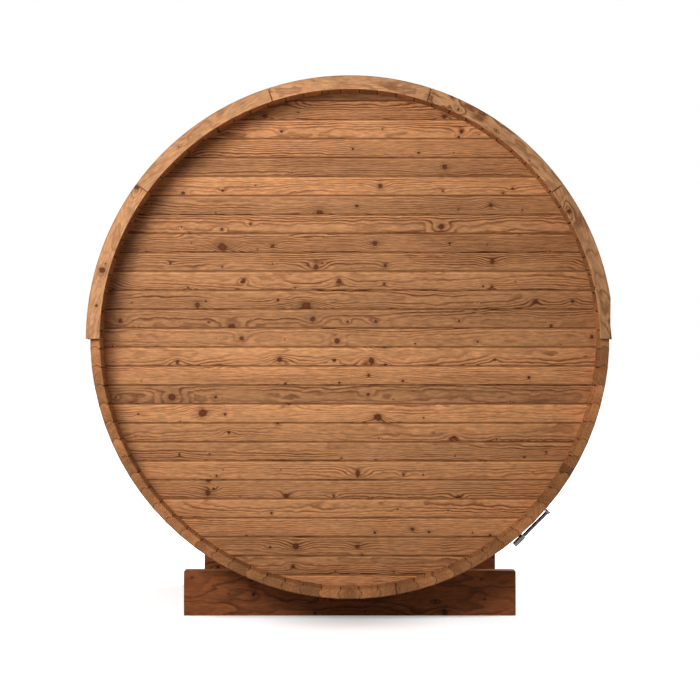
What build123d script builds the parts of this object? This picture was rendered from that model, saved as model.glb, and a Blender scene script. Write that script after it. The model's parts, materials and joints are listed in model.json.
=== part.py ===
from build123d import *
import os
from math import asin, ceil, cos, degrees, radians, sin, sqrt, tan

# Barrel sauna: a horizontal barrel of cove-and-bead staves on two cradles.
# Millimetres, +Z up. The origin is on the ground under the middle of the barrel.
# -Y is the plain back end, +Y is the end with the door, and the barrel's axis runs along Y.
# Angles go round the barrel from the top towards +X, clockwise as seen from the back.

# Barrel
BARREL_LENGTH = 1830.0
BARREL_RADIUS = 1043.0  # from the axis to the flat outer face of a stave
STAVE_COUNT = 84
STAVE_THICKNESS = 38.0
STAVES_PER_NODE = 7

# Cove-and-bead edge of a stave
JOINT_GAP = 0.3
BEAD_RISE = 10.0
BEAD_FLAT_COUNT = 4
JOINT_V_DEPTH = 5.5  # the open V between two staves inside, up to the foot of the bead
JOINT_V_HALF_WIDTH = 3.0
OUTER_LAND = 2.5  # from the head of the bead to the outer face

# End walls, seated in a croze cut across the staves
WALL_THICKNESS = 38.0
WALL_RECESS = 143.0  # from the stave ends to the outer face of the wall
CROZE_DEPTH = 5.0
SEAT_GAP = 0.3  # between a piece and what it is seated on
BOARD_PITCH = 77.44
LOWEST_BOARD_HEIGHT = 51.4  # of the board at the foot of the wall
TONGUE_WIDTH = 10.0
TONGUE_HEIGHT = 9.0
TONGUE_CLEARANCE = 0.5
BOARD_CHAMFER = 3.0
BOARD_GAP = 0.9  # between the faces of two wall boards
CUT_PAST = 1.0  # how far a cut runs past the face it opens

# Curved trim over the upper half of each end
TRIM_THICKNESS = 22.0
TRIM_WIDTH = 54.0
TRIM_SEGMENT_COUNT = 5
TRIM_JOINT_GAP = 3.0
TRIM_FLAT_ANGLE = 9.0  # above the eave, where one plank was too narrow for the full width
TRIM_FLAT_LOSS = 14.0

# Roof covering over the upper half
COVERING_THICKNESS = 9.0

# Steel bands and their clamps
BAND_WIDTH = 25.0
BAND_THICKNESS = 1.5
CLAMP_ANGLE = 134.9
CLAMP_SPAN = 133.0  # between the lugs
LUG_THICKNESS = 4.0
LUG_HEIGHT = 47.0
ROD_RADIUS = 8.0
ROD_HEIGHT = 27.5  # from the staves to the middle of the rod
ROD_CLEARANCE = 0.5
SMALL_ROUND_SIDE_COUNT = 8  # flats round the rod, its holes and a hinge knuckle
HEAD_RADIUS = 12.0  # to the corners of the hexagon
HEAD_LENGTH = 8.0
LONG_NUT_RADIUS = 12.0
LONG_NUT_LENGTH = 50.0

# Cradles
CRADLE_WIDTH = 1366.0
CRADLE_WEB = 92.0  # wood under the barrel at its lowest place
CRADLE_HOLD = 93.0  # how far the cradle reaches up the barrel from there
CRADLE_THICKNESS = 75.0
CRADLE_SETBACK = 215.0  # from the stave ends to the cradle's outer face
CRADLE_CORNER_RADIUS = 6.0

# Door in the front end wall
DOOR_WIDTH = 600.0
DOOR_STEP = 250.0  # from the lowest stave inside up to the foot of the door
CASING_MARGIN = 16.0  # from the casing's upper corners to the staves
DOOR_THICKNESS = 40.0
DOOR_CLEARANCE = 3.0
DOOR_BOARD_COUNT = 6
FRAME_THICKNESS = 32.0
CASING_WIDTH = 62.0
CASING_THICKNESS = 20.0
CASING_REVEAL = 14.0
SILL_THICKNESS = 34.0
SILL_OVERHANG = 30.0
LEDGE_HEIGHT = 110.0
LEDGE_THICKNESS = 25.0
LEDGE_INSET = 130.0
STRAP_LENGTH = 330.0
STRAP_HEIGHT = 44.0
STRAP_TIP_HEIGHT = 24.0
STRAP_THICKNESS = 3.0
HINGE_KNUCKLE_RADIUS = 7.0
HINGE_KNUCKLE_HEIGHT = 60.0
HANDLE_LENGTH = 260.0
HANDLE_SIZE = 28.0
HANDLE_CHAMFER = 7.0
HANDLE_STANDOFF = 42.0
HANDLE_POST_SIZE = 22.0
HANDLE_HEIGHT = 850.0  # above the foot of the door
HANDLE_INSET = 60.0

STAVE_ANGLE = 360.0 / STAVE_COUNT
HALF_STAVE = radians(STAVE_ANGLE / 2)
INNER_RADIUS = BARREL_RADIUS - STAVE_THICKNESS
HALF_LENGTH = BARREL_LENGTH / 2
WALL_RADIUS = INNER_RADIUS + CROZE_DEPTH - SEAT_GAP
WALL_OUTER_Y = HALF_LENGTH - WALL_RECESS
WALL_INNER_Y = WALL_OUTER_Y - WALL_THICKNESS
WALL_MIDDLE_Y = (WALL_OUTER_Y + WALL_INNER_Y) / 2
CORNER_RADIUS = BARREL_RADIUS / cos(HALF_STAVE)
CRADLE_SEAT_RADIUS = CORNER_RADIUS + SEAT_GAP
AXIS_HEIGHT = CRADLE_WEB + CRADLE_SEAT_RADIUS
AXIS = Pos(0, 0, AXIS_HEIGHT)
BACK, FRONT = -1, 1

JAMB_INNER_X = DOOR_WIDTH / 2 + DOOR_CLEARANCE
JAMB_OUTER_X = JAMB_INNER_X + FRAME_THICKNESS
CASING_INNER_X = JAMB_INNER_X + CASING_REVEAL
CASING_OUTER_X = CASING_INNER_X + CASING_WIDTH
CASING_TOP_RISE = sqrt((INNER_RADIUS - CASING_MARGIN) ** 2 - CASING_OUTER_X**2)
DOOR_FOOT = AXIS_HEIGHT - INNER_RADIUS + DOOR_STEP
SILL_TOP = DOOR_FOOT - DOOR_CLEARANCE
HEAD_FOOT = AXIS_HEIGHT + CASING_TOP_RISE - CASING_WIDTH - CASING_REVEAL
HEAD_TOP = HEAD_FOOT + FRAME_THICKNESS
DOOR_HEIGHT = HEAD_FOOT - DOOR_CLEARANCE - DOOR_FOOT


def joint_point(radius, shift):
    """A point on the radial joint line beside a stave, shifted clockwise across the joint."""
    return (
        radius * tan(HALF_STAVE) + shift * cos(HALF_STAVE),
        radius - shift * sin(HALF_STAVE),
    )


def bead_curve():
    """How high up the joint and how far across it the bead reaches, from its foot to its head."""
    half_chord = (STAVE_THICKNESS - JOINT_V_DEPTH - OUTER_LAND) / 2
    arc_radius = (half_chord**2 + BEAD_RISE**2) / (2 * BEAD_RISE)
    half_sweep = asin(half_chord / arc_radius)
    middle = INNER_RADIUS + JOINT_V_DEPTH + half_chord
    curve = []
    for k in range(BEAD_FLAT_COUNT + 1):
        turn = half_sweep * (2 * k / BEAD_FLAT_COUNT - 1)
        curve.append((middle + arc_radius * sin(turn), BEAD_RISE - arc_radius * (1 - cos(turn))))
    return curve


def stave_edge(kind):
    """Points down the clockwise edge of a stave, from its inner to its outer face."""
    # The cove and the bead are one curve, so that a bead lies in its neighbour's cove.
    side = 1 if kind == "bead" else -1
    own = -JOINT_GAP / 2
    arris = (joint_point(INNER_RADIUS, own)[0] - JOINT_V_HALF_WIDTH, INNER_RADIUS)
    curve = [joint_point(height, own + side * reach) for height, reach in bead_curve()]
    return [arris, *curve, joint_point(BARREL_RADIUS, own)]


def make_stave(left, right):
    """A stave at the top of the barrel, with a bead or a cove on each edge and a croze near each end."""
    left_edge = [(-x, z) for x, z in stave_edge(left)]
    outline = Polyline(*stave_edge(right), *reversed(left_edge), close=True)
    stave = extrude(Plane.XZ * make_face(outline), HALF_LENGTH, both=True)
    croze = Box(
        4 * BARREL_RADIUS * tan(HALF_STAVE),
        WALL_THICKNESS + 2 * SEAT_GAP,
        2 * CROZE_DEPTH,
    )
    for end in (BACK, FRONT):
        stave -= Pos(0, end * WALL_MIDDLE_Y, INNER_RADIUS) * croze
    return stave


def make_staves():
    """Every stave in place. Beads point up on both sides, from the bottom stave to the top one."""
    top, bottom = make_stave("cove", "cove"), make_stave("bead", "bead")
    right_side, left_side = make_stave("bead", "cove"), make_stave("cove", "bead")
    placed = []
    for index in range(STAVE_COUNT):
        if index == 0:
            stave = top
        elif 2 * index == STAVE_COUNT:
            stave = bottom
        else:
            stave = right_side if 2 * index < STAVE_COUNT else left_side
        placed.append(AXIS * Rot(0, index * STAVE_ANGLE, 0) * stave)
    return placed


def stave_polygon(apothem, angles):
    """Points over the staves' flat faces: joints stand out to the corner, the rest lie on the flats."""
    points = []
    for angle in angles:
        from_middle = (angle + STAVE_ANGLE / 2) % STAVE_ANGLE - STAVE_ANGLE / 2
        radius = apothem / cos(radians(from_middle))
        points.append((radius * sin(radians(angle)), radius * cos(radians(angle))))
    return points


def joint_angles():
    """Where the joints between the staves are, all round the barrel."""
    return [(k + 0.5) * STAVE_ANGLE for k in range(STAVE_COUNT)]


def wall_board(low, high, end):
    """One tongued and grooved board of an end wall, cut to the staves' round to seat in the croze."""
    groove_half = TONGUE_WIDTH / 2 + TONGUE_CLEARANCE
    groove_depth = TONGUE_HEIGHT + TONGUE_CLEARANCE
    middle = WALL_THICKNESS / 2
    top = high - BOARD_GAP
    section = Polyline(
        (0, low + BOARD_CHAMFER),
        (BOARD_CHAMFER, low),
        (middle - groove_half, low),
        (middle - groove_half, low + groove_depth),
        (middle + groove_half, low + groove_depth),
        (middle + groove_half, low),
        (WALL_THICKNESS, low),
        (WALL_THICKNESS, top),
        (middle + TONGUE_WIDTH / 2, top),
        (middle + TONGUE_WIDTH / 2, top + TONGUE_HEIGHT),
        (middle - TONGUE_WIDTH / 2, top + TONGUE_HEIGHT),
        (middle - TONGUE_WIDTH / 2, top),
        (BOARD_CHAMFER, top),
        (0, top - BOARD_CHAMFER),
        close=True,
    )
    outer_face = Plane((0, end * WALL_OUTER_Y, AXIS_HEIGHT), x_dir=(0, -end, 0), z_dir=(-end, 0, 0))
    board = extrude(outer_face * make_face(section), WALL_RADIUS + CUT_PAST, both=True)
    round_face = make_face(Polyline(*stave_polygon(WALL_RADIUS, joint_angles()), close=True))
    round_bar = extrude(Plane.XZ * round_face, WALL_THICKNESS / 2 + CUT_PAST, both=True)
    return board & AXIS * Pos(0, end * WALL_MIDDLE_Y, 0) * round_bar


def wall_boards(end):
    """The boards of an end wall from the bottom up."""
    lowest_joint = LOWEST_BOARD_HEIGHT - WALL_RADIUS
    course_count = 1 + ceil((WALL_RADIUS - lowest_joint) / BOARD_PITCH)
    lows = [lowest_joint + (k - 1) * BOARD_PITCH for k in range(course_count)]
    return [wall_board(low, low + BOARD_PITCH, end) for low in lows]


def box_between(low, high):
    """A box from its low corner to its high corner."""
    size = [b - a for a, b in zip(low, high)]
    middle = [(a + b) / 2 for a, b in zip(low, high)]
    return Pos(*middle) * Box(*size)


def front_wall():
    """The front wall's boards, cut for the doorway and sorted by where they stand."""
    side = JAMB_OUTER_X + SEAT_GAP
    low = SILL_TOP - SILL_THICKNESS - SEAT_GAP
    high = HEAD_TOP + SEAT_GAP
    hole = box_between(
        (-side, WALL_INNER_Y - CUT_PAST, low),
        (side, WALL_OUTER_Y + CUT_PAST, high),
    )
    groups = {"left": [], "right": [], "above_door": [], "below_door": []}
    for board in wall_boards(FRONT):
        for piece in (board - hole).solids():
            middle = piece.bounding_box().center()
            if abs(middle.X) > side / 2:
                groups["left" if middle.X > 0 else "right"].append(piece)
            else:
                groups["above_door" if middle.Z > AXIS_HEIGHT else "below_door"].append(piece)
    return groups


def trim_segment(index, end):
    """One curved piece of the trim that covers the stave ends from eave to eave."""
    sweep = 180.0 / TRIM_SEGMENT_COUNT
    outer = INNER_RADIUS + TRIM_WIDTH
    start = 90.0 - index * sweep
    inner_gap = degrees(TRIM_JOINT_GAP / 2 / INNER_RADIUS)
    low, high = start - sweep + inner_gap, start - inner_gap

    def at(radius, angle):
        return (radius * sin(radians(angle)), radius * cos(radians(angle)))

    middle = (low + high) / 2
    curves = [
        Line(at(INNER_RADIUS, low), at(outer, low)),
        ThreePointArc(at(outer, low), at(outer, middle), at(outer, high)),
        Line(at(outer, high), at(INNER_RADIUS, high)),
        ThreePointArc(at(INNER_RADIUS, high), at(INNER_RADIUS, middle), at(INNER_RADIUS, low)),
    ]
    face = Plane.XZ * make_face(Curve() + curves)
    segment = extrude(face, -TRIM_THICKNESS)
    if index == 0 and end == BACK:
        # This plank was narrow, so its outer edge runs straight in towards the eave.
        tip = at(outer - TRIM_FLAT_LOSS, 90)
        shoulder = at(outer, 90 - TRIM_FLAT_ANGLE)
        beyond = Polyline(tip, shoulder, (2 * outer, shoulder[1]), (2 * outer, tip[1]), close=True)
        segment -= extrude(Plane.XZ * make_face(beyond), -TRIM_THICKNESS)
    face_y = HALF_LENGTH + SEAT_GAP
    place = face_y if end == FRONT else -face_y - TRIM_THICKNESS
    return Pos(0, place, AXIS_HEIGHT) * segment


def roof_covering():
    """The covering over the upper half, bent over the staves and lying on the bands."""
    inner = BARREL_RADIUS + SEAT_GAP + BAND_THICKNESS + SEAT_GAP
    upper = [angle - 360 for angle in joint_angles() if angle > 270]
    upper += [angle for angle in joint_angles() if angle < 90]
    angles = [-90.0, *upper, 90.0]
    outline = stave_polygon(inner, angles)
    outline += reversed(stave_polygon(inner + COVERING_THICKNESS, angles))
    face = Plane.XZ * make_face(Polyline(*outline, close=True))
    return AXIS * extrude(face, HALF_LENGTH, both=True)


def clamp_place(end):
    """The clamp's own frame: X along the rod, Z out from the barrel, at the end wall it draws tight."""
    return AXIS * Rot(0, CLAMP_ANGLE, 0) * Pos(0, end * WALL_MIDDLE_Y, 0)


def rod_bar(radius, side_count, low, high):
    """A bar of many sides along X at the height of the clamp's rod."""
    start = Plane((low, 0, BARREL_RADIUS + ROD_HEIGHT), x_dir=(0, 1, 0), z_dir=(1, 0, 0))
    return extrude(start * RegularPolygon(radius, side_count), high - low)


def band(end):
    """A steel band round the staves with the two lugs of its clamp."""
    inner = BARREL_RADIUS + SEAT_GAP
    outside = Polyline(*stave_polygon(inner + BAND_THICKNESS, joint_angles()), close=True)
    inside = Polyline(*stave_polygon(inner, joint_angles()), close=True)
    ring = Plane.XZ * (make_face(outside) - make_face(inside))
    ring = Pos(0, end * WALL_MIDDLE_Y, 0) * extrude(ring, BAND_WIDTH / 2, both=True)
    lug_place = Rot(0, CLAMP_ANGLE, 0) * Pos(0, end * WALL_MIDDLE_Y, 0)
    root_radius = (CORNER_RADIUS + SEAT_GAP + inner + BAND_THICKNESS) / 2
    for side in (-1, 1):
        near, far = sorted((side * CLAMP_SPAN / 2, side * (CLAMP_SPAN / 2 + LUG_THICKNESS)))
        root = sqrt(root_radius**2 - (CLAMP_SPAN / 2) ** 2)
        lug = box_between(
            (near, -BAND_WIDTH / 2, root),
            (far, BAND_WIDTH / 2, BARREL_RADIUS + LUG_HEIGHT),
        )
        hole_radius = ROD_RADIUS + ROD_CLEARANCE
        lug -= rod_bar(hole_radius, SMALL_ROUND_SIDE_COUNT, near - CUT_PAST, far + CUT_PAST)
        ring += lug_place * lug
    return AXIS * ring


def band_bolt(end):
    """The clamp's threaded rod with its head and its long nut."""
    outside = CLAMP_SPAN / 2 + LUG_THICKNESS + SEAT_GAP
    bolt = rod_bar(ROD_RADIUS, SMALL_ROUND_SIDE_COUNT, -outside, outside)
    bolt += rod_bar(HEAD_RADIUS, 6, -outside - HEAD_LENGTH, -outside)
    bolt += rod_bar(LONG_NUT_RADIUS, 6, outside, outside + LONG_NUT_LENGTH)
    return clamp_place(end) * bolt


def cradle(end):
    """A plank on edge, hollowed to the barrel's round."""
    height = CRADLE_WEB + CRADLE_HOLD
    plank = Pos(0, height / 2) * Rectangle(CRADLE_WIDTH, height)
    upper_corners = plank.vertices().group_by(Axis.Y)[-1]
    plank = fillet(upper_corners, CRADLE_CORNER_RADIUS)
    plank -= Pos(0, AXIS_HEIGHT) * Circle(CRADLE_SEAT_RADIUS)
    outer = HALF_LENGTH - CRADLE_SETBACK
    place = -outer if end == BACK else outer - CRADLE_THICKNESS
    return Pos(0, place, 0) * extrude(Plane.XZ * plank, -CRADLE_THICKNESS)


def door_frame():
    """Two jambs and the head between them, in the depth of the wall."""
    pieces = []
    for side in (-1, 1):
        near, far = sorted((side * JAMB_INNER_X, side * JAMB_OUTER_X))
        pieces.append(
            box_between((near, WALL_INNER_Y, SILL_TOP + SEAT_GAP), (far, WALL_OUTER_Y, HEAD_TOP))
        )
    head_half = JAMB_INNER_X - SEAT_GAP
    pieces.append(
        box_between((-head_half, WALL_INNER_Y, HEAD_FOOT), (head_half, WALL_OUTER_Y, HEAD_TOP))
    )
    return pieces


def door_sill():
    """The sill under the door, which runs out past the wall."""
    return box_between(
        (-JAMB_OUTER_X, WALL_INNER_Y, SILL_TOP - SILL_THICKNESS),
        (JAMB_OUTER_X, WALL_OUTER_Y + SILL_OVERHANG, SILL_TOP),
    )


def door_casing():
    """Flat trim round the door on the outside of the wall."""
    near_y = WALL_OUTER_Y + SEAT_GAP
    far_y = near_y + CASING_THICKNESS
    lintel = HEAD_FOOT + CASING_REVEAL
    pieces = []
    for side in (-1, 1):
        near, far = sorted((side * CASING_INNER_X, side * CASING_OUTER_X))
        pieces.append(
            box_between((near, near_y, SILL_TOP + SEAT_GAP), (far, far_y, lintel - SEAT_GAP))
        )
    pieces.append(
        box_between(
            (-CASING_OUTER_X, near_y, lintel),
            (CASING_OUTER_X, far_y, lintel + CASING_WIDTH),
        )
    )
    return pieces


def door_boards():
    """Upright boards of the closed door, flush with the wall's outer face."""
    pitch = DOOR_WIDTH / DOOR_BOARD_COUNT
    section = box_between(
        (-pitch / 2 + JOINT_GAP / 2, WALL_OUTER_Y - DOOR_THICKNESS, DOOR_FOOT),
        (pitch / 2 - JOINT_GAP / 2, WALL_OUTER_Y, DOOR_FOOT + DOOR_HEIGHT),
    )
    long_edges = section.edges().filter_by(Axis.Z).group_by(Axis.Y)[-1]
    section = chamfer(long_edges, BOARD_CHAMFER)
    first = -DOOR_WIDTH / 2 + pitch / 2
    return [Pos(first + k * pitch, 0, 0) * section for k in range(DOOR_BOARD_COUNT)]


def door_ledges():
    """Cross pieces that hold the door's boards together on the inside."""
    back = WALL_OUTER_Y - DOOR_THICKNESS - SEAT_GAP
    half = DOOR_WIDTH / 2 - FRAME_THICKNESS
    heights = (
        LEDGE_INSET,
        DOOR_HEIGHT / 2 - LEDGE_HEIGHT / 2,
        DOOR_HEIGHT - LEDGE_INSET - LEDGE_HEIGHT,
    )
    return [
        box_between(
            (-half, back - LEDGE_THICKNESS, DOOR_FOOT + height),
            (half, back, DOOR_FOOT + height + LEDGE_HEIGHT),
        )
        for height in heights
    ]


def door_hinges():
    """Two strap hinges on the outside: a strap on the door, the knuckle and a leaf on the jamb."""
    pin_x = (DOOR_WIDTH + DOOR_CLEARANCE) / 2
    near = WALL_OUTER_Y + SEAT_GAP
    leaf_x = CASING_INNER_X - SEAT_GAP
    root, tip = STRAP_HEIGHT / 2, STRAP_TIP_HEIGHT / 2
    strap = Polyline(
        (leaf_x, -root),
        (leaf_x, root),
        (pin_x - HINGE_KNUCKLE_RADIUS, root),
        (pin_x - STRAP_LENGTH, tip),
        (pin_x - STRAP_LENGTH - tip, 0),
        (pin_x - STRAP_LENGTH, -tip),
        (pin_x - HINGE_KNUCKLE_RADIUS, -root),
        close=True,
    )
    hinge = Pos(0, near, 0) * extrude(Plane.XZ * make_face(strap), -STRAP_THICKNESS)
    knuckle = RegularPolygon(HINGE_KNUCKLE_RADIUS, SMALL_ROUND_SIDE_COUNT)
    knuckle = extrude(knuckle, HINGE_KNUCKLE_HEIGHT / 2, both=True)
    knuckle_reach = HINGE_KNUCKLE_RADIUS * cos(radians(180 / SMALL_ROUND_SIDE_COUNT))
    hinge += Pos(pin_x, near + knuckle_reach, 0) * knuckle
    heights = (LEDGE_INSET, DOOR_HEIGHT - LEDGE_INSET - LEDGE_HEIGHT)
    return [Pos(0, 0, DOOR_FOOT + height + LEDGE_HEIGHT / 2) * hinge for height in heights]


def door_handle():
    """A wooden bar with bevelled edges on two short posts."""
    near = WALL_OUTER_Y + SEAT_GAP
    bar = Box(HANDLE_SIZE, HANDLE_SIZE, HANDLE_LENGTH)
    bar = chamfer(bar.edges().filter_by(Axis.Z), HANDLE_CHAMFER)
    handle = Pos(0, HANDLE_STANDOFF, 0) * bar
    for side in (-1, 1):
        post = Box(HANDLE_POST_SIZE, HANDLE_STANDOFF, HANDLE_POST_SIZE)
        handle += Pos(0, HANDLE_STANDOFF / 2, side * HANDLE_LENGTH / 3) * post
    return Pos(-DOOR_WIDTH / 2 + HANDLE_INSET, near, DOOR_FOOT + HANDLE_HEIGHT) * handle


def write(name, pieces):
    """One STEP file for a node, from one shape or a list of them."""
    shapes = pieces if isinstance(pieces, list) else [pieces]
    solids = [solid for shape in shapes for solid in shape.solids()]
    export_step(Compound(solids) if len(solids) > 1 else solids[0], f"parts/{name}.step")


def main():
    os.makedirs("parts", exist_ok=True)
    staves = make_staves()
    hours = STAVE_COUNT // STAVES_PER_NODE
    for hour in range(1, hours + 1):
        first = hour * STAVES_PER_NODE - STAVES_PER_NODE // 2
        group = [staves[(first + k) % STAVE_COUNT] for k in range(STAVES_PER_NODE)]
        write(f"staves_at_{hour:02d}_oclock", group)
    boards = wall_boards(BACK)
    third = len(boards) // 3
    write("back_wall_boards_lower", boards[:third])
    write("back_wall_boards_middle", boards[third : 2 * third])
    write("back_wall_boards_upper", boards[2 * third :])
    for name, group in front_wall().items():
        write(f"front_wall_boards_{name}", group)
    for end, end_name in ((BACK, "back"), (FRONT, "front")):
        write(f"{end_name}_trim", [trim_segment(k, end) for k in range(TRIM_SEGMENT_COUNT)])
        write(f"{end_name}_cradle", cradle(end))
        write(f"{end_name}_band", band(end))
        write(f"{end_name}_band_bolt", band_bolt(end))
    write("roof_covering", roof_covering())
    write("door_frame", door_frame())
    write("door_sill", door_sill())
    write("door_casing", door_casing())
    write("door_boards", door_boards())
    write("door_ledges", door_ledges())
    write("door_hinges", door_hinges())
    write("door_handle", door_handle())


main()
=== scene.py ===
import json
import math

import bpy
import numpy as np
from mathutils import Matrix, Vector

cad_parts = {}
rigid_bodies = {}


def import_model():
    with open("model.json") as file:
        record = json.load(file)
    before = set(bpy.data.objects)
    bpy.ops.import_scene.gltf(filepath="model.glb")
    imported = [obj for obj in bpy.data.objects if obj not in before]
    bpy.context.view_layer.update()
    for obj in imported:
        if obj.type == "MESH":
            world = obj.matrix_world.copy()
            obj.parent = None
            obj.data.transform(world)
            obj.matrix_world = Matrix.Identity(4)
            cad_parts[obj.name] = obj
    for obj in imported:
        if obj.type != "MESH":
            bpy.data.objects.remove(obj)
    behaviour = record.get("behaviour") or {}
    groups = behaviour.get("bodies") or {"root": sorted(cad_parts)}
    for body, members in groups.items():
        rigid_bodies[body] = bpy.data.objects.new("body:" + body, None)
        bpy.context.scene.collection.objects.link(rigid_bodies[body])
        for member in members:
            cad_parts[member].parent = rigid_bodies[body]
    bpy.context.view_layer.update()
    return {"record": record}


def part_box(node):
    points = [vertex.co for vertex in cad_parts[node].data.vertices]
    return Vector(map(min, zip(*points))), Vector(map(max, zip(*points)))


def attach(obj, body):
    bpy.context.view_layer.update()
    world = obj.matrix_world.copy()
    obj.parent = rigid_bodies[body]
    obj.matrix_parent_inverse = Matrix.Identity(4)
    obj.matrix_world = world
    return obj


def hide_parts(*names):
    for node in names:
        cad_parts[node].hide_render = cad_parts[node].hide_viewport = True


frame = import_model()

# Barrel sauna, dressed: softwood, steel bands and clamps, and a shingled cover.
# Metres, +Z up, in the frame of the CAD: the barrel's axis runs along Y and -Y is the plain back end.

# Sizes that the looks need, read from the nodes where they give them. The grain of the boards,
# staves and trim is laid out from the same pitch, radii and counts as the CAD's.
WALL_FOOT, WALL_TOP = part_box("back_wall_boards_lower")[0][2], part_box("back_wall_boards_upper")[1][2]
AXIS_HEIGHT = (WALL_FOOT + WALL_TOP) / 2
LOWEST_BOARD_HEIGHT = 0.0514
BOARD_PITCH = 0.07744
HALF_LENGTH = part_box("staves_at_06_oclock")[1][1]
OUTER_RADIUS = 1.043
INNER_RADIUS = OUTER_RADIUS - 0.038
STAVE_COUNT = 84
BEAD_RISE = 0.010
BEAD_HALF_CHORD = 0.015
BEAD_MIDDLE = OUTER_RADIUS - 0.0025 - BEAD_HALF_CHORD
TRIM_COUNT = 5
TRIM_MIDDLE = 1.032
TRIM_OUTER_RADIUS = 1.059
CLAMP_ANGLE = math.radians(134.9)
CLAMP_SPAN = 0.133
LUG_THICKNESS = 0.004
ROD_AXIS = OUTER_RADIUS + 0.0275


# Node trees

def linear(red, green, blue):
    """A colour written in 0 to 255 steps as seen on a screen, made linear for a shader."""
    steps = [value / 255 for value in (red, green, blue)]
    return (*(s / 12.92 if s <= 0.04045 else ((s + 0.055) / 1.055) ** 2.4 for s in steps), 1.0)


class Term:
    """A value or colour inside a node tree. Arithmetic on it adds Math nodes to the tree."""

    def __init__(self, tree, socket):
        self.tree, self.socket = tree, socket

    def __add__(self, other):
        return calc(self.tree, "ADD", self, other)

    def __sub__(self, other):
        return calc(self.tree, "SUBTRACT", self, other)

    def __rsub__(self, other):
        return calc(self.tree, "SUBTRACT", other, self)

    def __mul__(self, other):
        return calc(self.tree, "MULTIPLY", self, other)

    def __truediv__(self, other):
        return calc(self.tree, "DIVIDE", self, other)

    __radd__, __rmul__ = __add__, __mul__


def fill(tree, socket, value):
    """Link a term into a socket, or write a constant there."""
    if isinstance(value, Term):
        tree.links.new(value.socket, socket)
    else:
        socket.default_value = value


def add_node(tree, kind, values=None, **settings):
    """A shader node with its settings made and its inputs filled."""
    node = tree.nodes.new("ShaderNode" + kind)
    for name, setting in settings.items():
        setattr(node, name, setting)
    for key, value in (values or {}).items():
        fill(tree, node.inputs[key], value)
    return node


def calc(tree, operation, *values):
    """A Math node's result."""
    node = add_node(tree, "Math", dict(enumerate(values)), operation=operation)
    return Term(tree, node.outputs[0])


def ramp(value, low, high):
    """A smooth rise from 0 at low to 1 at high."""
    values = {0: value, 1: low, 2: high}
    node = add_node(value.tree, "MapRange", values, interpolation_type="SMOOTHSTEP")
    return Term(value.tree, node.outputs[0])


def joined(tree, x, y, z=0.0):
    """A vector from three values."""
    return Term(tree, add_node(tree, "CombineXYZ", {0: x, 1: y, 2: z}).outputs[0])


def parted(term):
    """The three values of a vector."""
    node = add_node(term.tree, "SeparateXYZ", {0: term})
    return [Term(term.tree, socket) for socket in node.outputs]


def noise(vector, detail=2.0, roughness=0.5):
    """A smooth cloud of values round 0.5 over a vector."""
    values = {"Vector": vector, "Scale": 1.0, "Detail": detail, "Roughness": roughness}
    node = add_node(vector.tree, "TexNoise", values, noise_dimensions="3D")
    return Term(vector.tree, node.outputs[0])


def dice(number):
    """Four fixed random numbers from 0 to 1 for each value of a number."""
    tree = number.tree
    node = add_node(tree, "TexWhiteNoise", {"W": number}, noise_dimensions="1D")
    return [Term(tree, node.outputs[0]), *parted(Term(tree, node.outputs[1]))]


def blend(factor, first, second):
    """Two colours mixed by a factor."""
    tree = factor.tree
    values = {0: factor, 6: first, 7: second}
    node = add_node(tree, "Mix", values, data_type="RGBA")
    return Term(tree, node.outputs[2])


def shaded(colour, amount):
    """A colour times a number."""
    node = add_node(colour.tree, "VectorMath", {0: colour, "Scale": amount}, operation="SCALE")
    return Term(colour.tree, node.outputs[0])


SOCKETS = {"value": "NodeSocketFloat", "colour": "NodeSocketColor", "vector": "NodeSocketVector"}


def new_group(name, inputs, outputs):
    """An empty shader node group: its tree, its inputs as terms, and the node that takes its outputs."""
    tree = bpy.data.node_groups.new(name, "ShaderNodeTree")
    for way, sockets in (("INPUT", inputs), ("OUTPUT", outputs)):
        for label, kind in sockets.items():
            tree.interface.new_socket(label, in_out=way, socket_type=SOCKETS[kind])
    start, end = tree.nodes.new("NodeGroupInput"), tree.nodes.new("NodeGroupOutput")
    return tree, [Term(tree, start.outputs[label]) for label in inputs], end


def use_group(tree, group, values):
    """A group placed in a tree with its values, as terms for its outputs."""
    node = add_node(tree, "Group", node_tree=group)
    for label, value in values.items():
        fill(tree, node.inputs[label], value)
    return [Term(tree, socket) for socket in node.outputs]


# Softwood

# Knots: the length of board to each one, the height of a row of them and the largest size.
KNOT_ROW = 0.0774
BIG_KNOTS = {"Cell": 0.36, "Largest": 0.0185}
PIN_KNOTS = {"Cell": 0.24, "Largest": 0.0075}
PIN_KNOT_BOARDS = 41.0

# Noises over a board: turns a metre along and across the grain, shift between boards, detail and
# roughness.
LONG_WAVES = (2.7, 10.0, 9.1, 2.0, 0.42)
SHORT_WAVES = (15.0, 26.0, 3.3, 2.0, 0.5)
SHORT_WAVE_HEIGHT = 0.007
CLOUDS = (3.3, 24.0, 5.3, 3.0, 0.6)
STREAKS = (26.0, 165.0, 2.9, 2.0, 0.6)
FIBRES = (30.0, 620.0, 0.0, 2.0, 0.5)

# Painted shade and painted highlights at the joints of the end walls, at the joints and arrises of the staves
# and trim, and painted shade on the staves' inner faces.
JOINT_PAINTED_SHADE = 0.5
ARRIS_PAINTED_HIGHLIGHT = 0.3
LIP_PAINTED_HIGHLIGHT = 0.22
STAVE_JOINT_PAINTED_SHADE = 0.55
TRIM_JOINT_PAINTED_SHADE = 0.6
OUTER_ARRIS_PAINTED_SHADE = 0.3
INNER_ARRIS_PAINTED_HIGHLIGHT = 0.2
INNER_FACE_PAINTED_SHADE = 0.2

# The one stave whose lower half is dark heartwood.
DARK_STAVE = 28.0
HEARTWOOD_DARKNESS = 0.45

# Each board's number picks its pattern, so each family of boards counts from its own start.
FRONT_COURSES = 60.0
STAVES_START, LEFT_STAVES = 200.0, 50.0
TRIM_START, FRONT_TRIM = 351.0, 7.0
BACK_PLANKS = 5.0


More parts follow.
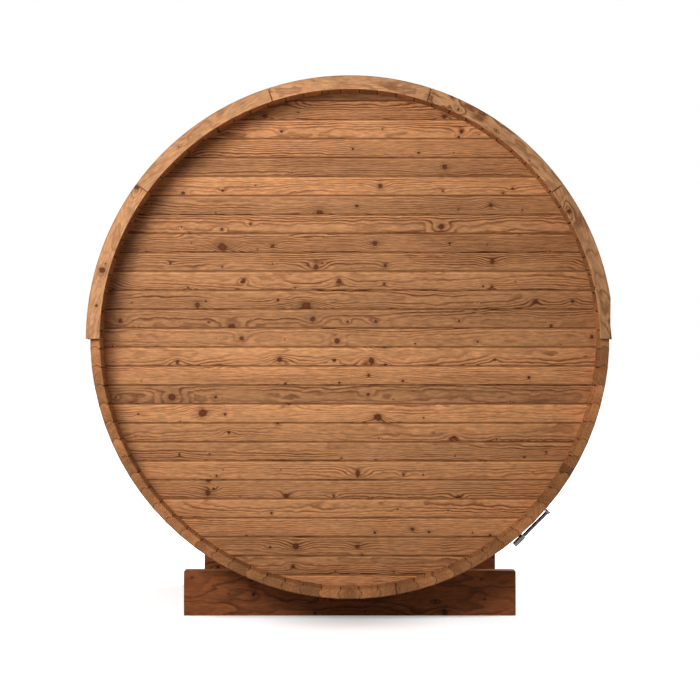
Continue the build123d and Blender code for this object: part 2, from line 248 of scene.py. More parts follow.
def make_knots_group():
    """Knots scattered over a board, one to each cell of a board's length.

    A knot of size s, ragged by a noise of the direction from its middle, gives a core where
    the distance d < s, a hill s * exp(-(d / 2.1 s)^2) that bends the year rings round it,
    and a dark halo exp(-0.3 (d / s)^2).
    """
    tree, (along, across, board, cell, largest, share), end = new_group(
        "knots",
        dict.fromkeys(("Along", "Across", "Board", "Cell", "Largest", "Share"), "value"),
        dict.fromkeys(("Core", "Hill", "Halo", "Reach"), "value"),
    )
    column = along / cell + board * 7.31
    row = across / KNOT_ROW + board * 3.0 + 0.5
    values = {"Vector": joined(tree, column, row), "Scale": 1.0, "Randomness": 0.86}
    scatter = add_node(tree, "TexVoronoi", values, voronoi_dimensions="2D")
    centre_column, centre_row, _ = parted(Term(tree, scatter.outputs["Position"]))
    luck, chance, shape = parted(Term(tree, scatter.outputs["Color"]))
    run = (column - centre_column) * cell
    rise = (row - centre_row) * KNOT_ROW
    size = largest * (luck * luck * 0.72 + 0.28)
    there = calc(tree, "LESS_THAN", chance, share)
    plain = calc(tree, "SQRT", run * run * (shape * 0.9 + 0.5) + rise * rise)
    spokes = noise(joined(tree, run / plain * 1.9, rise / plain * 1.9, luck * 40.0), 3.0, 0.7) - 0.5
    crumbs = noise(joined(tree, along * 300.0, across * 300.0, board)) - 0.5
    distance = plain * (spokes * 1.3 + 1.0) + crumbs * size * 0.5
    reach = distance / size
    stretched = calc(tree, "SQRT", run * run * 0.22 + rise * rise) / (size * 2.1)
    fill(tree, end.inputs["Core"], there * (1.0 - ramp(reach, 0.62, 1.15)))
    slope = calc(tree, "EXPONENT", 0.0 - stretched * stretched)
    fill(tree, end.inputs["Hill"], there * size * 0.95 * slope)
    fill(tree, end.inputs["Halo"], there * calc(tree, "EXPONENT", 0.0 - reach * reach * 0.3))
    fill(tree, end.inputs["Reach"], reach)
    return tree


def board_noise(spot, along_rate, across_rate, shift, detail, roughness):
    """Noise drawn out along a board, with a shift from one board to the next."""
    along, across, depth, board = spot
    vector = joined(along.tree, along * along_rate, across * across_rate, depth * across_rate + board * shift)
    return noise(vector, detail, roughness)


def late_wood(spot, hill, width, bend, contrast):
    """How dark the late wood is at a spot: it swells in each year ring and ends sharply.

    The rings are shells round a pith that lies behind the board and wanders along it:
    ring = (sqrt((across - p)^2 + (depth + q + t * along + waves)^2) + hill of the knots) / ring width.
    They differ in strength from ring to ring, in patches and from board to board, and fade
    where they lie flat.
    """
    along, across, depth, board = spot
    tree = along.tree
    _, chance_a, chance_b, chance_c = dice(board + 3.7)
    wander = noise(joined(tree, along * 0.9, board * 11.3)) - 0.5
    pith = (chance_a - 0.5) * 0.15 + wander * 0.09
    behind = chance_b * 0.05 + 0.05 + (chance_c - 0.5) * along * 0.03
    long_wave = board_noise(spot, *LONG_WAVES) - 0.5
    short_wave = board_noise(spot, *SHORT_WAVES) - 0.5
    side = across - pith
    inward = depth + behind + long_wave * bend + short_wave * SHORT_WAVE_HEIGHT
    radius = calc(tree, "SQRT", side * side + inward * inward) + hill
    ring = radius / width
    part = calc(tree, "FRACT", ring)
    strength = dice(calc(tree, "FLOOR", ring) + board * 57.0)[0]
    patches = ramp(noise(joined(tree, along * 3.1, across * 14.0, board * 4.7), 1.0), 0.3, 0.6)
    steep = ramp(calc(tree, "ABSOLUTE", side) / radius, 0.0, 0.45)
    line = ramp(part, 0.3, 0.8) * (1.0 - ramp(part, 0.84, 1.0)) * (strength * 0.85 + 0.5)
    return line * (patches * 0.6 + 0.4) * (contrast * 0.5 + 0.75) * (steep * 0.5 + 0.5)


def make_softwood_group(knots):
    """Flat-sawn softwood in a board's own coordinates.

    Colour = early wood mixed with late wood by its darkness, times the board's own tone, clouds,
    streaks and fibres drawn out along it, and the shade. The knots lie over it in dark halos.
    """
    tree, terms, end = new_group(
        "softwood",
        {
            "Along": "value", "Across": "value", "Depth": "value", "Board": "value", "Shade": "value",
            "Early wood": "colour", "Late wood": "colour", "Knot": "colour",
            "Ring width": "value", "Wave": "value", "Knot share": "value", "Tone spread": "value",
        },
        {"Color": "colour", "Roughness": "value", "Height": "value"},
    )
    along, across, depth, board, shade, early, late, knot_colour, width, bend, share, spread = terms
    spot = (along, across, depth, board)
    place = {"Along": along, "Across": across, "Share": share}
    big_core, big_hill, big_halo, big_reach = use_group(tree, knots, {**place, "Board": board, **BIG_KNOTS})
    pins = {**place, "Board": board + PIN_KNOT_BOARDS, **PIN_KNOTS}
    pin_core, pin_hill, pin_halo, _ = use_group(tree, knots, pins)
    tone, _, _, contrast = dice(board + 91.3)
    halo = big_halo * 0.75 + pin_halo * 0.5
    line = late_wood(spot, big_hill + pin_hill, width, bend, contrast)
    line = calc(tree, "MINIMUM", line + halo * 0.4, 1.0)
    clouds, streaks, fibre = (board_noise(spot, *look) for look in (CLOUDS, STREAKS, FIBRES))
    level = ((tone - 0.5) * spread + 1.0) * (clouds * 0.5 + 0.75)
    level = level * (streaks * 1.25 + 0.375) * (fibre * 0.24 + 0.88)
    wood = shaded(blend(line, early, late), level * (1.0 - halo * 0.25) * shade)
    bark = 1.5 - ramp(big_reach, 0.3, 0.8) * 0.8
    knot = shaded(knot_colour, bark * (streaks * 0.7 + 0.6) * shade)
    core = calc(tree, "MAXIMUM", big_core, pin_core)
    fill(tree, end.inputs["Color"], blend(core * 0.95, wood, knot))
    fill(tree, end.inputs["Roughness"], 0.58 - line * 0.06 + fibre * 0.12)
    fill(tree, end.inputs["Height"], fibre * 0.3 + streaks * 0.3 - line * 0.7 + core * 0.6)
    return tree


PLACE = dict.fromkeys(("Along", "Across", "Depth", "Board", "Shade"), "value")


def make_course_group():
    """Place on the level boards of an end wall: board = floor((z - lowest joint) / pitch).

    The shade is painted: painted shade darkens the top of each board's edge in the joint, painted
    highlights lighten the arris below it and the lip at the board's foot, and painted shading darkens
    each board a little towards its foot.
    """
    tree, (spot,), end = new_group("level_courses", {"Object": "vector"}, PLACE)
    x, y, z = parted(spot)
    course = (z - (WALL_FOOT + LOWEST_BOARD_HEIGHT)) / BOARD_PITCH
    board = calc(tree, "FLOOR", course)
    front = calc(tree, "GREATER_THAN", y, 0.0)
    fill(tree, end.inputs["Along"], x)
    fill(tree, end.inputs["Across"], (course - board - 0.5) * BOARD_PITCH)
    fill(tree, end.inputs["Depth"], calc(tree, "ABSOLUTE", y) - 0.77)
    fill(tree, end.inputs["Board"], board + front * FRONT_COURSES)
    fraction = course - board
    # Painted shade in the joint, painted highlights on the arris and the lip, and painted shading down each
    # board.
    groove = ramp(fraction, 0.905, 0.93) * 0.75 + ramp(fraction, 0.955, 0.985) * 0.25
    arris = ramp(fraction, 0.83, 0.865) * (1.0 - ramp(fraction, 0.885, 0.905))
    lip = 1.0 - ramp(fraction, 0.025, 0.06)
    painted_falloff = fraction * 0.07 + 0.96
    light = arris * ARRIS_PAINTED_HIGHLIGHT + lip * LIP_PAINTED_HIGHLIGHT
    fill(tree, end.inputs["Shade"], painted_falloff - groove * JOINT_PAINTED_SHADE + light)
    return tree


def make_stave_group():
    """Place on the staves, counted from the top down both sides, in a cylinder's coordinates.

    The joints are beads pointing up: at radius r they lie b(r) / r before the radial line,
    b(r) = sqrt(k^2 - (r - m)^2) - (k - h) with h the rise, m the middle and k the bead's radius.
    The shade is painted shade at the joints, the outer arris and the inner face, and the heartwood's own
    darker tone.
    """
    tree, (spot,), end = new_group("staves", {"Object": "vector"}, PLACE)
    x, y, z = parted(spot)
    up = z - AXIS_HEIGHT
    radius = calc(tree, "SQRT", x * x + up * up)
    angle = calc(tree, "ARCTAN2", calc(tree, "ABSOLUTE", x), up)
    curve = (BEAD_HALF_CHORD**2 + BEAD_RISE**2) / (2 * BEAD_RISE)
    off = radius - BEAD_MIDDLE
    reach = calc(tree, "SQRT", calc(tree, "MAXIMUM", curve**2 - off * off, 0.0)) - (curve - BEAD_RISE)
    reach = calc(tree, "MAXIMUM", reach, 0.0)
    pitch = 2 * math.pi / STAVE_COUNT
    turn = (angle + reach / radius) / pitch
    off_joint = (calc(tree, "FRACT", turn) - 0.5) * pitch
    stave = calc(tree, "ROUND", turn)
    stave = calc(tree, "MINIMUM", stave, STAVE_COUNT / 2)
    off_middle = angle - stave * pitch
    quarter = STAVE_COUNT / 4
    off_side = calc(tree, "ABSOLUTE", stave - quarter)
    neither_top_nor_bottom = calc(tree, "LESS_THAN", off_side, quarter - 0.5)
    left = calc(tree, "LESS_THAN", x, 0.0) * neither_top_nor_bottom
    fill(tree, end.inputs["Along"], y)
    fill(tree, end.inputs["Across"], radius * calc(tree, "SINE", off_middle))
    fill(tree, end.inputs["Depth"], radius * calc(tree, "COSINE", off_middle) - OUTER_RADIUS)
    number = stave + left * LEFT_STAVES
    fill(tree, end.inputs["Board"], number + STAVES_START)
    below_middle = calc(tree, "GREATER_THAN", off_middle, 0.0)
    heart = calc(tree, "COMPARE", number, DARK_STAVE, 0.5) * below_middle
    # Painted shade along the joints, on the outer arris and on the inner face; the heartwood's darker tone is
    # its own colour.
    joint_shade = 1.0 - ramp(calc(tree, "ABSOLUTE", off_joint) * radius, 0.0008, 0.003)
    outer_arris = ramp(radius, OUTER_RADIUS - 0.004, OUTER_RADIUS - 0.001)
    inside = 1.0 - ramp(radius, INNER_RADIUS + 0.0015, INNER_RADIUS + 0.003)
    shade_and_heartwood = heart * HEARTWOOD_DARKNESS + joint_shade * STAVE_JOINT_PAINTED_SHADE + outer_arris * OUTER_ARRIS_PAINTED_SHADE
    fill(tree, end.inputs["Shade"], (1.0 - shade_and_heartwood) * (1.0 - inside * INNER_FACE_PAINTED_SHADE))
    return tree


def make_trim_group():
    """Place on the curved trim: each plank's grain runs straight, square to its middle radius.

    The shade is painted shade at the joints and the outer arris, and a painted highlight on the inner one.
    """
    tree, (spot,), end = new_group("curved_planks", {"Object": "vector"}, PLACE)
    x, y, z = parted(spot)
    up = z - AXIS_HEIGHT
    radius = calc(tree, "SQRT", x * x + up * up)
    angle = calc(tree, "ARCTAN2", x, up)
    sweep = math.pi / TRIM_COUNT
    plank = calc(tree, "FLOOR", (angle + math.pi / 2) / sweep)
    off_middle = angle - (plank + 0.5) * sweep + math.pi / 2
    front = calc(tree, "GREATER_THAN", y, 0.0)
    fill(tree, end.inputs["Along"], radius * calc(tree, "SINE", off_middle))
    fill(tree, end.inputs["Across"], radius * calc(tree, "COSINE", off_middle) - TRIM_MIDDLE)
    fill(tree, end.inputs["Depth"], y)
    fill(tree, end.inputs["Board"], plank + front * FRONT_TRIM + TRIM_START)
    # Painted shade along the joints and the outer arris, and a painted highlight on the inner arris.
    off_joint = (sweep / 2 - calc(tree, "ABSOLUTE", off_middle)) * radius
    joint = 1.0 - ramp(off_joint, 0.0012, 0.0042)
    inner_arris = 1.0 - ramp(radius, INNER_RADIUS + 0.0015, INNER_RADIUS + 0.0045)
    outer_arris = ramp(radius, TRIM_OUTER_RADIUS - 0.0045, TRIM_OUTER_RADIUS - 0.0015)
    shade = 1.0 - joint * TRIM_JOINT_PAINTED_SHADE + inner_arris * INNER_ARRIS_PAINTED_HIGHLIGHT
    fill(tree, end.inputs["Shade"], shade - outer_arris * OUTER_ARRIS_PAINTED_SHADE)
    return tree


def make_plank_group():
    """Place on straight planks: which way each axis runs is set by vectors dotted with the spot.

    Board = floor(place across / pitch) + the first plank's number.
    """
    tree, (spot, along, across, pitch, first), end = new_group(
        "straight_planks",
        {
            "Object": "vector", "Along axis": "vector", "Across axis": "vector",
            "Pitch": "value", "First": "value",
        },
        PLACE,
    )

    def measured(axis):
        node = add_node(tree, "VectorMath", {0: spot, 1: axis}, operation="DOT_PRODUCT")
        return Term(tree, node.outputs["Value"])

    span = measured(across) / pitch
    board = calc(tree, "FLOOR", span)
    _, y, _ = parted(spot)
    back = calc(tree, "LESS_THAN", y, 0.0)
    fill(tree, end.inputs["Along"], measured(along))
    fill(tree, end.inputs["Across"], (span - board - 0.5) * pitch)
    fill(tree, end.inputs["Depth"], y)
    fill(tree, end.inputs["Board"], board + first + back * BACK_PLANKS)
    fill(tree, end.inputs["Shade"], 1.0)
    return tree


# Materials

WOOD_SHEEN = 0.15
WOOD_RELIEF = 0.0004
METAL_EDGE_TINT = (0.05, 0.05, 0.05, 1.0)
SHINGLE_SHEEN = 0.2


def new_material(name):
    """A material with an empty tree but for its shader and output."""
    material = bpy.data.materials.new(name)
    material.use_nodes = True
    tree = material.node_tree
    tree.nodes.clear()
    shader = add_node(tree, "BsdfPrincipled")
    output = add_node(tree, "OutputMaterial")
    tree.links.new(shader.outputs[0], output.inputs["Surface"])
    return material, tree, shader


def object_place(tree):
    """The place on the object, in its own metres."""
    return Term(tree, add_node(tree, "TexCoord").outputs["Object"])


def bumped(tree, shader, height, distance, strength):
    """Raise the surface by a height map."""
    values = {"Height": height, "Distance": distance, "Strength": strength}
    bump = add_node(tree, "Bump", values)
    tree.links.new(bump.outputs[0], shader.inputs["Normal"])


def wood_material(name, place_group, place_values, look):
    """Softwood laid out by one of the place groups."""
    material, tree, shader = new_material(name)
    place = use_group(tree, place_group, {"Object": object_place(tree), **place_values})
    values = dict(zip(PLACE, place))
    colour, roughness, height = use_group(tree, SOFTWOOD, {**values, **look})
    fill(tree, shader.inputs["Base Color"], colour)
    fill(tree, shader.inputs["Roughness"], roughness)
    shader.inputs["Specular IOR Level"].default_value = WOOD_SHEEN
    bumped(tree, shader, height, WOOD_RELIEF, 0.6)
    return material


def steel_material(name, low, high, shade_colour):
    """Zinc-coated steel: a soft spangle, fine scratches, and painted shade, a dark colour that is not
    metallic, on the side towards the barrel.
    """
    material, tree, shader = new_material(name)
    spot = object_place(tree)
    x, y, z = parted(spot)
    spangle = noise(joined(tree, x * 90.0, y * 90.0, z * 90.0), 3.0)
    scratch = noise(joined(tree, x * 30.0, y * 900.0, z * 30.0), 2.0)
    outward = add_node(tree, "VectorMath", {0: joined(tree, x, 0.0, z - AXIS_HEIGHT)}, operation="NORMALIZE")
    normal = add_node(tree, "NewGeometry").outputs["Normal"]
    facing = add_node(tree, "VectorMath", operation="DOT_PRODUCT")
    tree.links.new(outward.outputs[0], facing.inputs[0])
    tree.links.new(normal, facing.inputs[1])
    # Painted shade: the side facing the barrel is a dark colour in place of its shadow and the dark
    # reflection of the wood.
    unshaded = ramp(Term(tree, facing.outputs["Value"]) + (spangle - 0.5) * 0.3, -0.6, -0.2)
    metal = blend(ramp(spangle * 0.7 + scratch * 0.3, 0.3, 0.7), low, high)
    fill(tree, shader.inputs["Base Color"], blend(unshaded, shade_colour, metal))
    fill(tree, shader.inputs["Roughness"], spangle * 0.2 + 0.28)
    fill(tree, shader.inputs["Metallic"], unshaded)
    shader.inputs["Specular IOR Level"].default_value = 0.0
    shader.inputs["Specular Tint"].default_value = METAL_EDGE_TINT
    bumped(tree, shader, scratch, 0.0001, 0.4)
    return material


def shingle_material():
    """Mineral-surfaced shingles: a tone for each tab, coloured granules, and darker lower edges."""
    material, tree, shader = new_material("mineral_shingle")
    tab_place = Term(tree, add_node(tree, "UVMap", uv_map="tabs").outputs[0])
    across, up, _ = parted(tab_place)
    tone = dice(calc(tree, "FLOOR", across) + calc(tree, "FLOOR", up) * 17.0)[0]
    x, y, z = parted(object_place(tree))
    grains = noise(joined(tree, x * 620.0, y * 620.0, z * 620.0), 2.0, 0.7)
    clouds = noise(joined(tree, x * 5.0, y * 5.0, z * 5.0), 3.0)
    body = blend(ramp(grains, 0.38, 0.66), linear(38, 35, 33), linear(104, 98, 92))
    level = (tone - 0.5) * 0.34 + clouds * 0.5 + 0.72
    off_edge = ramp(calc(tree, "FRACT", up), 0.0, 0.1)
    fill(tree, shader.inputs["Base Color"], shaded(body, level * (off_edge * 0.14 + 0.95)))
    fill(tree, shader.inputs["Roughness"], grains * 0.1 + 0.86)
    shader.inputs["Specular IOR Level"].default_value = SHINGLE_SHEEN
    bumped(tree, shader, grains, 0.0012, 0.8)
    return material


def painted_steel_material():
    """Black powder-coated ironmongery with a faint orange peel."""
    material, tree, shader = new_material("black_ironmongery")
    x, y, z = parted(object_place(tree))
    peel = noise(joined(tree, x * 700.0, y * 700.0, z * 700.0), 1.0)
    wear = ramp(noise(joined(tree, x * 60.0, y * 60.0, z * 60.0), 4.0), 0.4, 0.75)
    fill(tree, shader.inputs["Base Color"], blend(wear, linear(24, 24, 25), linear(44, 43, 42)))
    fill(tree, shader.inputs["Roughness"], peel * 0.2 + 0.38)
    bumped(tree, shader, peel, 0.0002, 0.5)
    return material


KNOTS = make_knots_group()
SOFTWOOD = make_softwood_group(KNOTS)
COURSES, STAVES = make_course_group(), make_stave_group()
CURVED, STRAIGHT = make_trim_group(), make_plank_group()

WALL_LOOK = {
    "Early wood": linear(206, 145, 96), "Late wood": linear(120, 62, 28), "Knot": linear(92, 40, 16),
    "Ring width": 0.0048, "Wave": 0.018, "Knot share": 0.6, "Tone spread": 0.5,
}
STAVE_LOOK = {
    **WALL_LOOK, "Early wood": linear(198, 134, 84), "Late wood": linear(92, 45, 20), "Tone spread": 0.6,
    "Ring width": 0.0036,
}
TRIM_LOOK = {
    **WALL_LOOK, "Early wood": linear(206, 150, 104), "Late wood": linear(112, 60, 28), "Tone spread": 0.15,
    "Ring width": 0.0032,
}
CRADLE_LOOK = {
    **WALL_LOOK, "Early wood": linear(165, 95, 54), "Late wood": linear(40, 17, 6), "Knot": linear(28, 13, 6),
    "Ring width": 0.007, "Wave": 0.05, "Tone spread": 0.1,
}
HANDLE_LOOK = {**WALL_LOOK, "Early wood": linear(150, 98, 64), "Knot share": 0.0}
LEVEL = {"Along axis": (1, 0, 0), "Across axis": (0, 0, 1)}
UPRIGHT = {"Along axis": (0, 0, 1), "Across axis": (1, 0, 0)}
ON_CRADLES = {**LEVEL, "Pitch": 0.19, "First": 400.0}
ON_DOOR = {**UPRIGHT, "Pitch": 0.1, "First": 420.0}
ON_FRAME = {**UPRIGHT, "Pitch": 0.379, "First": 460.0}
ON_HANDLE = {**UPRIGHT, "Pitch": 2.0, "First": 480.0}
DULL_ZINC, BRIGHT_ZINC, BARREL_SIDE_SHADE = linear(92, 91, 90), linear(150, 148, 146), linear(30, 20, 16)

MATERIALS = {
    "wall_wood": wood_material("wall_softwood", COURSES, {}, WALL_LOOK),
    "stave_wood": wood_material("stave_softwood", STAVES, {}, STAVE_LOOK),
    "trim_wood": wood_material("trim_softwood", CURVED, {}, TRIM_LOOK),
    "cradle_wood": wood_material("stained_cradle", STRAIGHT, ON_CRADLES, CRADLE_LOOK),
    "door_wood": wood_material("door_softwood", STRAIGHT, ON_DOOR, WALL_LOOK),
    "frame_wood": wood_material("frame_softwood", STRAIGHT, ON_FRAME, TRIM_LOOK),
    "handle_wood": wood_material("handle_softwood", STRAIGHT, ON_HANDLE, HANDLE_LOOK),
    "band_steel": steel_material("zinc_steel", DULL_ZINC, BRIGHT_ZINC, BARREL_SIDE_SHADE),
    "hinge_steel": painted_steel_material(),
    "covering": shingle_material(),
}


def dress_nodes():
    """Give every CAD node the material of its slot."""
    for row in frame["record"]["subparts"]:
        piece = bpy.data.objects[row["node"]]
        material = MATERIALS[row["material_slot"]]
        if not piece.data.materials:
            piece.data.materials.append(material)
        for index in range(len(piece.data.materials)):
            piece.data.materials[index] = material


# New pieces

def tube_piece(name, tubes, slot_name, node=None, places=None):
    """One mesh of closed tubes, which may take the place of a node.

    Each tube is a grid of points: rows are stations along it, columns go right-handed round it,
    and both ends are capped.
    """
    faces, first = [], 0
    for tube in tubes:
        rows, columns = tube.shape[:2]
        number = first + np.arange(rows * columns).reshape(rows, columns)
        round_again = np.concatenate([number, number[:, :1]], axis=1)
        low, high = round_again[:-1], round_again[1:]
        quads = np.stack([low[:, :-1], low[:, 1:], high[:, 1:], high[:, :-1]], axis=-1)
        faces += quads.reshape(-1, 4).tolist() + [number[0, ::-1].tolist(), number[-1].tolist()]
        first += rows * columns
    points = np.concatenate([tube.reshape(-1, 3) for tube in tubes])
    mesh = bpy.data.meshes.new(name)
    mesh.from_pydata(points.tolist(), [], faces)
    if places is not None:
        layer = mesh.uv_layers.new(name="tabs")
        corners = np.empty(len(mesh.loops), dtype=np.int32)
        mesh.loops.foreach_get("vertex_index", corners)
        layer.data.foreach_set("uv", places.reshape(-1, 2)[corners].astype(np.float32).ravel())
    piece = bpy.data.objects.new(name, mesh)
    bpy.context.scene.collection.objects.link(piece)
    mesh.materials.append(MATERIALS[slot_name])
    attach(piece, "root")
    if node:
        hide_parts(node)


# Radii of the shingles' tops and of their bed, and the sizes of their courses, tabs and slots.
SHINGLE_BASE = 1.0489
SHINGLE_UNDER = 1.0459
SHINGLE_STEP = 0.0042
SLOT_DEPTH = 0.0026
SLOT_WIDTH = 0.007
TAB_LIFT = 0.0005
TAB_WIDTH = 0.305
COURSE_COUNT = 11
NUDGE = 0.01
OTHER_SIDE_TABS = 40


def shingled_cover():
    """Shingles over the upper half, in courses that climb from both eaves to the ridge.

    Radius = base + step * (1 - t) + lift of the tab - slot depth in the slots, where t runs
    from 0 at a course's lower edge to 1 under the next one.
    """
    course = np.repeat(np.arange(COURSE_COUNT), 2)
    rise = np.tile([0.0, 1.0], COURSE_COUNT)
    side_angle = math.pi / 2 - (course + rise) * (math.pi / 2) / COURSE_COUNT
    angle = np.concatenate([-side_angle, side_angle[::-1]])
    course, rise = np.concatenate([course, course[::-1]]), np.concatenate([rise, rise[::-1]])
    slot_count = round(2 * HALF_LENGTH / (TAB_WIDTH / 2))
    slots = -HALF_LENGTH + np.arange(1, slot_count) * TAB_WIDTH / 2
    edges = (slots[:, None] + SLOT_WIDTH / 2 * np.array([-1, -1, 1, 1])).ravel()
    inside = np.concatenate([[0], np.tile([0, 1, 1, 0], len(slots)), [0]])
    parity = np.concatenate([[0], np.repeat(np.arange(1, slot_count) % 2, 4), [0]])
    y = np.concatenate([[-HALF_LENGTH], edges, [HALF_LENGTH]])
    cut = inside[:, None] * (parity[:, None] == course[None, :] % 2)
    # A slot's own vertices stand at either side of it, so each tab's number is read just inside it.
    nudge = NUDGE * np.concatenate([[1], np.tile([-1, -1, 1, 1], len(slots)), [-1]])
    along = (y + HALF_LENGTH)[:, None] / TAB_WIDTH + 0.5 * (course % 2) + nudge[:, None]
    chance = np.random.default_rng(5).uniform(-1, 1, (COURSE_COUNT, math.ceil(along.max()) + 1))
    lift = chance[course, np.floor(along).astype(int)]
    radius = SHINGLE_BASE + SHINGLE_STEP * (1 - rise) + TAB_LIFT * lift - SLOT_DEPTH * cut
    side = OTHER_SIDE_TABS * (angle > 0)
    climb = np.broadcast_to(course + 0.02 + 0.96 * rise, radius.shape)
    places = np.stack([along + side, climb], axis=-1)
    length = np.broadcast_to(y[:, None], radius.shape)
    top = np.stack([radius * np.sin(angle), length, AXIS_HEIGHT + radius * np.cos(angle)], axis=-1)
    under = np.full_like(radius, SHINGLE_UNDER)
    bed = np.stack([under * np.sin(angle), length, AXIS_HEIGHT + under * np.cos(angle)], axis=-1)
    closed = np.concatenate([top, bed[:, ::-1]], axis=1)
    tab_places = np.concatenate([places, places[:, ::-1]], axis=1)
    tube_piece("roof_shingles", [closed], "covering", "roof_covering", tab_places)


# The clamp rod, its thread and its seat on the lugs.
ROUND_SIDES = 24
ROD_RADIUS = 0.0083
THREAD_PITCH = 0.002
THREAD_DEPTH = 0.0008
SEAT_GAP = 0.0003

# The head and the nut: distances from the lug, the radius at each, and the size over the flats.
HEAD_STATIONS = np.array([0.0078, 0.0066, 0.0012, 0.0])
HEAD_RADII = [0.0094, 0.0117, 0.0117, 0.0104]
HEAD_FLATS = 0.0205
NUT_STATIONS = np.array([0.0, 0.0015, 0.047, 0.0498])
NUT_RADII = [0.0108, 0.0117, 0.0117, 0.0086]
NUT_FLATS = 0.0215


def turned_bar(stations, radii, flat_size, axis_y):
    """A bar along a clamp's rod: round, or with six flats where a flat size is given.

    Radius = min(r(u), a / cos(turn off the nearest flat)), with a half the size over the flats.
    """
    turn = np.arange(ROUND_SIDES) * 2 * math.pi / ROUND_SIDES
    radius = np.repeat(np.asarray(radii)[:, None], ROUND_SIDES, axis=1)
    if flat_size:
        off_flat = (turn + math.pi / 6) % (math.pi / 3) - math.pi / 6
        radius = np.minimum(radius, flat_size / 2 / np.cos(off_flat))
    along = np.broadcast_to(np.asarray(stations)[:, None], radius.shape)
    out = ROD_AXIS + radius * np.sin(turn)
    x = along * math.cos(CLAMP_ANGLE) + out * math.sin(CLAMP_ANGLE)
    z = AXIS_HEIGHT - along * math.sin(CLAMP_ANGLE) + out * math.cos(CLAMP_ANGLE)
    return np.stack([x, axis_y + radius * np.cos(turn), z], axis=-1)


def clamp_bolt(end_name):
    """The threaded rod, its bevelled head and the long nut that draws the band tight.

    The thread is a row of rings: radius = rod radius - depth * |2 fract(u / pitch) - 1|.
    """
    low, high = (corner[1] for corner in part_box(end_name + "_band"))
    middle = (low + high) / 2
    outside = CLAMP_SPAN / 2 + LUG_THICKNESS + SEAT_GAP
    steps = np.linspace(-outside, outside, 2 * round(2 * outside / THREAD_PITCH) + 1)
    rod_radii = ROD_RADIUS - THREAD_DEPTH * (np.arange(len(steps)) % 2)
    tubes = [
        turned_bar(steps, rod_radii, 0, middle),
        turned_bar(-outside - HEAD_STATIONS, HEAD_RADII, HEAD_FLATS, middle),
        turned_bar(outside + NUT_STATIONS, NUT_RADII, NUT_FLATS, middle),
    ]
    tube_piece(end_name + "_clamp_bolt", tubes, "band_steel", end_name + "_band_bolt")


# The tongues, dark bars that stand in for the shadow in the trim's joints: their thickness, how far their
# ends lie inside the trim's faces, and their reach.
SPLINE_WIDTH = 0.0028
SPLINE_SINK = 0.004
SPLINE_INNER_RADIUS = INNER_RADIUS + 0.002
SPLINE_OUTER_RADIUS = TRIM_OUTER_RADIUS - 0.0015


def trim_shade_splines(end_name):
    """Loose tongues in the joints of the curved trim, dark bars that stand in for the shadow there: a thin
    bar along each joint's radius.
    """
    low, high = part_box(end_name + "_trim")[0][1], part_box(end_name + "_trim")[1][1]
    ends_y = (low + SPLINE_SINK, high - SPLINE_SINK)
    tubes = []
    for joint in range(1, TRIM_COUNT):
        angle = math.pi * (joint / TRIM_COUNT - 0.5)
        corners = np.array([(-1, -1), (1, -1), (1, 1), (-1, 1)])
        across = corners[:, 0] * SPLINE_WIDTH / 2
        y = np.where(corners[:, 1] < 0, *ends_y)
        out = np.array([SPLINE_INNER_RADIUS, SPLINE_OUTER_RADIUS])[:, None]
        x = out * math.sin(angle) + across * math.cos(angle)
        z = AXIS_HEIGHT + out * math.cos(angle) - across * math.sin(angle)
        tubes.append(np.stack([x, np.broadcast_to(y, x.shape), z], axis=-1))
    # Painted shade: the dark cradle wood makes each joint read as a shadow line.
    tube_piece(end_name + "_trim_shade_splines", tubes, "cradle_wood")


# Stage

WORLD_LIGHT = 0.19
FLOOR_REACH = 60.0
FLOOR_GLOW = 0.3
FLOOR_LIGHT_END = (1.2, 4.0)
PURE_WHITE = (1, 1, 1, 1)
FLOOR_GREY = linear(128, 124, 119)
CAMERA_PLACE = (0.0008, -10.015, 1.093)
CAMERA_LENS = 116.4
CAMERA_SENSOR = 36.0

# Lamps: place, target, size, power in watts, and spread in degrees. The near lamp lights the back
# end from the upper left. The others stand behind that end's wall, so that they light the sides
# and the door end alone.
LAMPS = {
    "key": ((-1.8, -4.0, 2.4), (-0.15, -0.8, 1.5), 1.7, 32.5, 91.0),
    "left": ((-5.0, 0.6, 3.6), (0, 0, 1.1), 2.5, 200.0, 180.0),
    "right": ((5.0, 0.6, 3.6), (0, 0, 1.1), 2.5, 200.0, 180.0),
    "door_end": ((2.4, 5.6, 3.2), (0, 0.8, 1.0), 2.0, 330.0, 180.0),
}


def seen_rays(tree):
    """1 for rays that show a surface to the camera or in a reflection, 0 for its light on other things."""
    path = add_node(tree, "LightPath")
    seen = Term(tree, path.outputs["Is Camera Ray"])
    for label in ("Is Glossy Ray", "Is Transmission Ray"):
        seen = calc(tree, "MAXIMUM", seen, Term(tree, path.outputs[label]))
    return seen


def make_world():
    """Weak white light all round, pure white to the camera."""
    world = bpy.data.worlds.new("studio")
    bpy.context.scene.world = world
    world.use_nodes = True
    tree = world.node_tree
    tree.nodes.clear()
    strength = seen_rays(tree) * (1.0 - WORLD_LIGHT) + WORLD_LIGHT
    background = add_node(tree, "Background", {"Color": PURE_WHITE, "Strength": strength})
    output = add_node(tree, "OutputWorld")
    tree.links.new(background.outputs[0], output.inputs["Surface"])


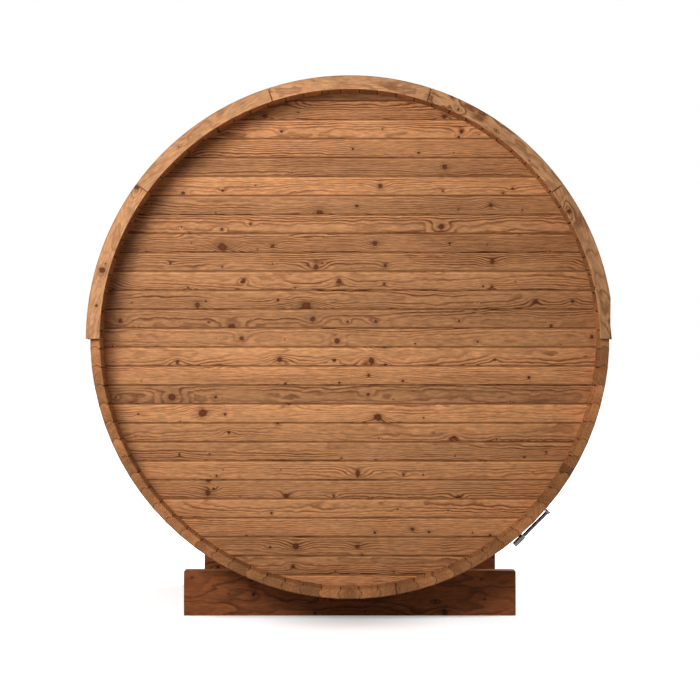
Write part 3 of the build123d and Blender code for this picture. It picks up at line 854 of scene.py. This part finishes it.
def make_floor():
    """A pale floor with the soft shadow. Where the lamps fade it glows itself, so it stays white."""
    mesh = bpy.data.meshes.new("floor")
    corners = [(x * FLOOR_REACH, y * FLOOR_REACH, 0) for x, y in ((-1, -1), (1, -1), (1, 1), (-1, 1))]
    mesh.from_pydata(corners, [], [(0, 1, 2, 3)])
    floor = bpy.data.objects.new("floor", mesh)
    bpy.context.scene.collection.objects.link(floor)
    material = bpy.data.materials.new("pale_floor")
    material.use_nodes = True
    tree = material.node_tree
    tree.nodes.clear()
    seen = seen_rays(tree)
    x, y, _ = parted(object_place(tree))
    far = ramp(calc(tree, "SQRT", x * x + y * y), *FLOOR_LIGHT_END)
    diffuse = add_node(tree, "BsdfDiffuse", {"Color": blend(seen, FLOOR_GREY, PURE_WHITE)})
    glow = add_node(tree, "Emission", {"Color": PURE_WHITE, "Strength": seen * (far + FLOOR_GLOW)})
    both = add_node(tree, "AddShader")
    output = add_node(tree, "OutputMaterial")
    tree.links.new(diffuse.outputs[0], both.inputs[0])
    tree.links.new(glow.outputs[0], both.inputs[1])
    tree.links.new(both.outputs[0], output.inputs["Surface"])
    mesh.materials.append(material)


def area_light(name, place, target, size, power, spread):
    """A round soft lamp that the camera doesn't see. It fades towards half the spread off its axis."""
    lamp = bpy.data.lights.new(name, "AREA")
    lamp.shape, lamp.size, lamp.energy, lamp.spread = "DISK", size, power, math.radians(spread)
    holder = bpy.data.objects.new(name, lamp)
    bpy.context.scene.collection.objects.link(holder)
    holder.location = place
    holder.rotation_euler = (Vector(target) - Vector(place)).to_track_quat("-Z", "Y").to_euler()
    holder.visible_camera = False


def make_camera():
    """The photo's view: level and square to the back end."""
    camera = bpy.data.cameras.new("photo_view")
    camera.lens, camera.sensor_width, camera.clip_end = CAMERA_LENS, CAMERA_SENSOR, 200.0
    holder = bpy.data.objects.new("photo_view", camera)
    bpy.context.scene.collection.objects.link(holder)
    holder.location = CAMERA_PLACE
    holder.rotation_euler = (math.pi / 2, 0.0, 0.0)
    bpy.context.scene.camera = holder


bpy.context.scene.view_settings.view_transform = "Standard"
dress_nodes()
shingled_cover()
for end_name in ("back", "front"):
    clamp_bolt(end_name)
for end_name in ("back", "front"):
    trim_shade_splines(end_name)
make_world()
make_floor()
for lamp_name, lamp in LAMPS.items():
    area_light(lamp_name, *lamp)
make_camera()
